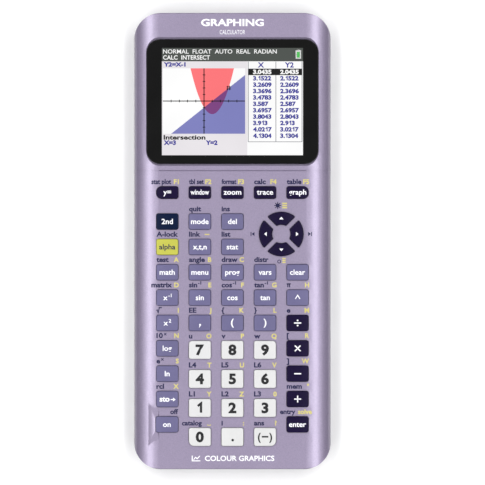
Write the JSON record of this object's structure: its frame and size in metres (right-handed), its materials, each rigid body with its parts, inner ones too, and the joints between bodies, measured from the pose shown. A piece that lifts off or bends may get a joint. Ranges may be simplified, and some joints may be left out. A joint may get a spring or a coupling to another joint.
{
  "type": "graphing calculator",
  "caption": "Handheld graphing calculator with a large colour display, function and number keys, a ring of arrow keys, and a rechargeable battery behind a rear cover.",
  "frame": {"origin": "centre of the plane that its four rear pads rest on, under the middle of the case", "axes": "X across the case to the right as the face is seen, +Y along the case towards the display end, +Z out of the face"},
  "size_m": [0.0822, 0.1906, 0.0155],
  "materials": {
    "case": "satin",
    "rear_case": "satin",
    "lens": "gloss",
    "display": "satin",
    "silicone": "matte",
    "circuit_board": "satin",
    "battery": "satin",
    "screw_steel": "satin",
    "reset": "satin",
    "key_purple": "satin",
    "key_navy": "satin",
    "key_yellow": "satin",
    "key_grey": "satin",
    "key_white": "satin"
  },
  "bodies": {
    "case": {"front_housing": "case", "rear_housing": "rear_case", "display_window": "lens", "lcd_module": "display", "keypad_membrane": "silicone", "main_board": "circuit_board", "battery_pack": "battery", "battery_cover": "rear_case", "case_screws": "screw_steel"},
    "reset": {"reset_button": "reset"},
    "key_0_body": {"key_0": "key_white"},
    "key_1_body": {"key_1": "key_white"},
    "key_2_body": {"key_2": "key_white"},
    "key_3_body": {"key_3": "key_white"},
    "key_4_body": {"key_4": "key_white"},
    "key_5_body": {"key_5": "key_white"},
    "key_6_body": {"key_6": "key_white"},
    "key_7_body": {"key_7": "key_white"},
    "key_8_body": {"key_8": "key_white"},
    "key_9_body": {"key_9": "key_white"},
    "key_alpha_body": {"key_alpha": "key_yellow"},
    "key_applications_body": {"key_applications": "key_grey"},
    "key_arrow_down_body": {"key_arrow_down": "key_purple"},
    "key_arrow_left_body": {"key_arrow_left": "key_purple"},
    "key_arrow_right_body": {"key_arrow_right": "key_purple"},
    "key_arrow_up_body": {"key_arrow_up": "key_purple"},
    "key_clear_body": {"key_clear": "key_grey"},
    "key_close_bracket_body": {"key_close_bracket": "key_grey"},
    "key_comma_body": {"key_comma": "key_grey"},
    "key_cosine_body": {"key_cosine": "key_grey"},
    "key_delete_body": {"key_delete": "key_grey"},
    "key_divide_body": {"key_divide": "key_purple"},
    "key_enter_body": {"key_enter": "key_purple"},
    "key_equation_body": {"key_equation": "key_purple"},
    "key_graph_body": {"key_graph": "key_purple"},
    "key_inverse_body": {"key_inverse": "key_grey"},
    "key_ln_body": {"key_ln": "key_grey"},
    "key_log_body": {"key_log": "key_grey"},
    "key_math_body": {"key_math": "key_grey"},
    "key_minus_body": {"key_minus": "key_purple"},
    "key_mode_body": {"key_mode": "key_grey"},
    "key_multiply_body": {"key_multiply": "key_purple"},
    "key_negative_body": {"key_negative": "key_white"},
    "key_on_body": {"key_on": "key_grey"},
    "key_open_bracket_body": {"key_open_bracket": "key_grey"},
    "key_plus_body": {"key_plus": "key_purple"},
    "key_point_body": {"key_point": "key_white"},
    "key_power_body": {"key_power": "key_grey"},
    "key_program_body": {"key_program": "key_grey"},
    "key_second_body": {"key_second": "key_navy"},
    "key_sine_body": {"key_sine": "key_grey"},
    "key_square_body": {"key_square": "key_grey"},
    "key_statistics_body": {"key_statistics": "key_grey"},
    "key_store_body": {"key_store": "key_grey"},
    "key_tangent_body": {"key_tangent": "key_grey"},
    "key_trace_body": {"key_trace": "key_purple"},
    "key_values_body": {"key_values": "key_grey"},
    "key_variable_body": {"key_variable": "key_grey"},
    "key_window_body": {"key_window": "key_purple"},
    "key_zoom_body": {"key_zoom": "key_purple"}
  },
  "joints": [
    {"name": "reset_press", "type": "slide", "parent": "case", "child": "reset", "axis": [0, 0, 1], "range_m": [0, 0.0006], "stiffness_N_per_m": 400, "springref_m": -0.0005},
    {"name": "press_0", "type": "slide", "parent": "case", "child": "key_0_body", "axis": [0, 0, -1], "range_m": [0, 0.001], "stiffness_N_per_m": 400, "springref_m": -0.0005, "deforming": ["keypad_membrane"]},
    {"name": "press_1", "type": "slide", "parent": "case", "child": "key_1_body", "axis": [0, 0, -1], "range_m": [0, 0.001], "stiffness_N_per_m": 400, "springref_m": -0.0005, "deforming": ["keypad_membrane"]},
    {"name": "press_2", "type": "slide", "parent": "case", "child": "key_2_body", "axis": [0, 0, -1], "range_m": [0, 0.001], "stiffness_N_per_m": 400, "springref_m": -0.0005, "deforming": ["keypad_membrane"]},
    {"name": "press_3", "type": "slide", "parent": "case", "child": "key_3_body", "axis": [0, 0, -1], "range_m": [0, 0.001], "stiffness_N_per_m": 400, "springref_m": -0.0005, "deforming": ["keypad_membrane"]},
    {"name": "press_4", "type": "slide", "parent": "case", "child": "key_4_body", "axis": [0, 0, -1], "range_m": [0, 0.001], "stiffness_N_per_m": 400, "springref_m": -0.0005, "deforming": ["keypad_membrane"]},
    {"name": "press_5", "type": "slide", "parent": "case", "child": "key_5_body", "axis": [0, 0, -1], "range_m": [0, 0.001], "stiffness_N_per_m": 400, "springref_m": -0.0005, "deforming": ["keypad_membrane"]},
    {"name": "press_6", "type": "slide", "parent": "case", "child": "key_6_body", "axis": [0, 0, -1], "range_m": [0, 0.001], "stiffness_N_per_m": 400, "springref_m": -0.0005, "deforming": ["keypad_membrane"]},
    {"name": "press_7", "type": "slide", "parent": "case", "child": "key_7_body", "axis": [0, 0, -1], "range_m": [0, 0.001], "stiffness_N_per_m": 400, "springref_m": -0.0005, "deforming": ["keypad_membrane"]},
    {"name": "press_8", "type": "slide", "parent": "case", "child": "key_8_body", "axis": [0, 0, -1], "range_m": [0, 0.001], "stiffness_N_per_m": 400, "springref_m": -0.0005, "deforming": ["keypad_membrane"]},
    {"name": "press_9", "type": "slide", "parent": "case", "child": "key_9_body", "axis": [0, 0, -1], "range_m": [0, 0.001], "stiffness_N_per_m": 400, "springref_m": -0.0005, "deforming": ["keypad_membrane"]},
    {"name": "press_alpha", "type": "slide", "parent": "case", "child": "key_alpha_body", "axis": [0, 0, -1], "range_m": [0, 0.001], "stiffness_N_per_m": 400, "springref_m": -0.0005, "deforming": ["keypad_membrane"]},
    {"name": "press_applications", "type": "slide", "parent": "case", "child": "key_applications_body", "axis": [0, 0, -1], "range_m": [0, 0.001], "stiffness_N_per_m": 400, "springref_m": -0.0005, "deforming": ["keypad_membrane"]},
    {"name": "press_arrow_down", "type": "slide", "parent": "case", "child": "key_arrow_down_body", "axis": [0, 0, -1], "range_m": [0, 0.001], "stiffness_N_per_m": 400, "springref_m": -0.0005, "deforming": ["keypad_membrane"]},
    {"name": "press_arrow_left", "type": "slide", "parent": "case", "child": "key_arrow_left_body", "axis": [0, 0, -1], "range_m": [0, 0.001], "stiffness_N_per_m": 400, "springref_m": -0.0005, "deforming": ["keypad_membrane"]},
    {"name": "press_arrow_right", "type": "slide", "parent": "case", "child": "key_arrow_right_body", "axis": [0, 0, -1], "range_m": [0, 0.001], "stiffness_N_per_m": 400, "springref_m": -0.0005, "deforming": ["keypad_membrane"]},
    {"name": "press_arrow_up", "type": "slide", "parent": "case", "child": "key_arrow_up_body", "axis": [0, 0, -1], "range_m": [0, 0.001], "stiffness_N_per_m": 400, "springref_m": -0.0005, "deforming": ["keypad_membrane"]},
    {"name": "press_clear", "type": "slide", "parent": "case", "child": "key_clear_body", "axis": [0, 0, -1], "range_m": [0, 0.001], "stiffness_N_per_m": 400, "springref_m": -0.0005, "deforming": ["keypad_membrane"]},
    {"name": "press_close_bracket", "type": "slide", "parent": "case", "child": "key_close_bracket_body", "axis": [0, 0, -1], "range_m": [0, 0.001], "stiffness_N_per_m": 400, "springref_m": -0.0005, "deforming": ["keypad_membrane"]},
    {"name": "press_comma", "type": "slide", "parent": "case", "child": "key_comma_body", "axis": [0, 0, -1], "range_m": [0, 0.001], "stiffness_N_per_m": 400, "springref_m": -0.0005, "deforming": ["keypad_membrane"]},
    {"name": "press_cosine", "type": "slide", "parent": "case", "child": "key_cosine_body", "axis": [0, 0, -1], "range_m": [0, 0.001], "stiffness_N_per_m": 400, "springref_m": -0.0005, "deforming": ["keypad_membrane"]},
    {"name": "press_delete", "type": "slide", "parent": "case", "child": "key_delete_body", "axis": [0, 0, -1], "range_m": [0, 0.001], "stiffness_N_per_m": 400, "springref_m": -0.0005, "deforming": ["keypad_membrane"]},
    {"name": "press_divide", "type": "slide", "parent": "case", "child": "key_divide_body", "axis": [0, 0, -1], "range_m": [0, 0.001], "stiffness_N_per_m": 400, "springref_m": -0.0005, "deforming": ["keypad_membrane"]},
    {"name": "press_enter", "type": "slide", "parent": "case", "child": "key_enter_body", "axis": [0, 0, -1], "range_m": [0, 0.001], "stiffness_N_per_m": 400, "springref_m": -0.0005, "deforming": ["keypad_membrane"]},
    {"name": "press_equation", "type": "slide", "parent": "case", "child": "key_equation_body", "axis": [0, 0, -1], "range_m": [0, 0.001], "stiffness_N_per_m": 400, "springref_m": -0.0005, "deforming": ["keypad_membrane"]},
    {"name": "press_graph", "type": "slide", "parent": "case", "child": "key_graph_body", "axis": [0, 0, -1], "range_m": [0, 0.001], "stiffness_N_per_m": 400, "springref_m": -0.0005, "deforming": ["keypad_membrane"]},
    {"name": "press_inverse", "type": "slide", "parent": "case", "child": "key_inverse_body", "axis": [0, 0, -1], "range_m": [0, 0.001], "stiffness_N_per_m": 400, "springref_m": -0.0005, "deforming": ["keypad_membrane"]},
    {"name": "press_ln", "type": "slide", "parent": "case", "child": "key_ln_body", "axis": [0, 0, -1], "range_m": [0, 0.001], "stiffness_N_per_m": 400, "springref_m": -0.0005, "deforming": ["keypad_membrane"]},
    {"name": "press_log", "type": "slide", "parent": "case", "child": "key_log_body", "axis": [0, 0, -1], "range_m": [0, 0.001], "stiffness_N_per_m": 400, "springref_m": -0.0005, "deforming": ["keypad_membrane"]},
    {"name": "press_math", "type": "slide", "parent": "case", "child": "key_math_body", "axis": [0, 0, -1], "range_m": [0, 0.001], "stiffness_N_per_m": 400, "springref_m": -0.0005, "deforming": ["keypad_membrane"]},
    {"name": "press_minus", "type": "slide", "parent": "case", "child": "key_minus_body", "axis": [0, 0, -1], "range_m": [0, 0.001], "stiffness_N_per_m": 400, "springref_m": -0.0005, "deforming": ["keypad_membrane"]},
    {"name": "press_mode", "type": "slide", "parent": "case", "child": "key_mode_body", "axis": [0, 0, -1], "range_m": [0, 0.001], "stiffness_N_per_m": 400, "springref_m": -0.0005, "deforming": ["keypad_membrane"]},
    {"name": "press_multiply", "type": "slide", "parent": "case", "child": "key_multiply_body", "axis": [0, 0, -1], "range_m": [0, 0.001], "stiffness_N_per_m": 400, "springref_m": -0.0005, "deforming": ["keypad_membrane"]},
    {"name": "press_negative", "type": "slide", "parent": "case", "child": "key_negative_body", "axis": [0, 0, -1], "range_m": [0, 0.001], "stiffness_N_per_m": 400, "springref_m": -0.0005, "deforming": ["keypad_membrane"]},
    {"name": "press_on", "type": "slide", "parent": "case", "child": "key_on_body", "axis": [0, 0, -1], "range_m": [0, 0.001], "stiffness_N_per_m": 400, "springref_m": -0.0005, "deforming": ["keypad_membrane"]},
    {"name": "press_open_bracket", "type": "slide", "parent": "case", "child": "key_open_bracket_body", "axis": [0, 0, -1], "range_m": [0, 0.001], "stiffness_N_per_m": 400, "springref_m": -0.0005, "deforming": ["keypad_membrane"]},
    {"name": "press_plus", "type": "slide", "parent": "case", "child": "key_plus_body", "axis": [0, 0, -1], "range_m": [0, 0.001], "stiffness_N_per_m": 400, "springref_m": -0.0005, "deforming": ["keypad_membrane"]},
    {"name": "press_point", "type": "slide", "parent": "case", "child": "key_point_body", "axis": [0, 0, -1], "range_m": [0, 0.001], "stiffness_N_per_m": 400, "springref_m": -0.0005, "deforming": ["keypad_membrane"]},
    {"name": "press_power", "type": "slide", "parent": "case", "child": "key_power_body", "axis": [0, 0, -1], "range_m": [0, 0.001], "stiffness_N_per_m": 400, "springref_m": -0.0005, "deforming": ["keypad_membrane"]},
    {"name": "press_program", "type": "slide", "parent": "case", "child": "key_program_body", "axis": [0, 0, -1], "range_m": [0, 0.001], "stiffness_N_per_m": 400, "springref_m": -0.0005, "deforming": ["keypad_membrane"]},
    {"name": "press_second", "type": "slide", "parent": "case", "child": "key_second_body", "axis": [0, 0, -1], "range_m": [0, 0.001], "stiffness_N_per_m": 400, "springref_m": -0.0005, "deforming": ["keypad_membrane"]},
    {"name": "press_sine", "type": "slide", "parent": "case", "child": "key_sine_body", "axis": [0, 0, -1], "range_m": [0, 0.001], "stiffness_N_per_m": 400, "springref_m": -0.0005, "deforming": ["keypad_membrane"]},
    {"name": "press_square", "type": "slide", "parent": "case", "child": "key_square_body", "axis": [0, 0, -1], "range_m": [0, 0.001], "stiffness_N_per_m": 400, "springref_m": -0.0005, "deforming": ["keypad_membrane"]},
    {"name": "press_statistics", "type": "slide", "parent": "case", "child": "key_statistics_body", "axis": [0, 0, -1], "range_m": [0, 0.001], "stiffness_N_per_m": 400, "springref_m": -0.0005, "deforming": ["keypad_membrane"]},
    {"name": "press_store", "type": "slide", "parent": "case", "child": "key_store_body", "axis": [0, 0, -1], "range_m": [0, 0.001], "stiffness_N_per_m": 400, "springref_m": -0.0005, "deforming": ["keypad_membrane"]},
    {"name": "press_tangent", "type": "slide", "parent": "case", "child": "key_tangent_body", "axis": [0, 0, -1], "range_m": [0, 0.001], "stiffness_N_per_m": 400, "springref_m": -0.0005, "deforming": ["keypad_membrane"]},
    {"name": "press_trace", "type": "slide", "parent": "case", "child": "key_trace_body", "axis": [0, 0, -1], "range_m": [0, 0.001], "stiffness_N_per_m": 400, "springref_m": -0.0005, "deforming": ["keypad_membrane"]},
    {"name": "press_values", "type": "slide", "parent": "case", "child": "key_values_body", "axis": [0, 0, -1], "range_m": [0, 0.001], "stiffness_N_per_m": 400, "springref_m": -0.0005, "deforming": ["keypad_membrane"]},
    {"name": "press_variable", "type": "slide", "parent": "case", "child": "key_variable_body", "axis": [0, 0, -1], "range_m": [0, 0.001], "stiffness_N_per_m": 400, "springref_m": -0.0005, "deforming": ["keypad_membrane"]},
    {"name": "press_window", "type": "slide", "parent": "case", "child": "key_window_body", "axis": [0, 0, -1], "range_m": [0, 0.001], "stiffness_N_per_m": 400, "springref_m": -0.0005, "deforming": ["keypad_membrane"]},
    {"name": "press_zoom", "type": "slide", "parent": "case", "child": "key_zoom_body", "axis": [0, 0, -1], "range_m": [0, 0.001], "stiffness_N_per_m": 400, "springref_m": -0.0005, "deforming": ["keypad_membrane"]}
  ]
}
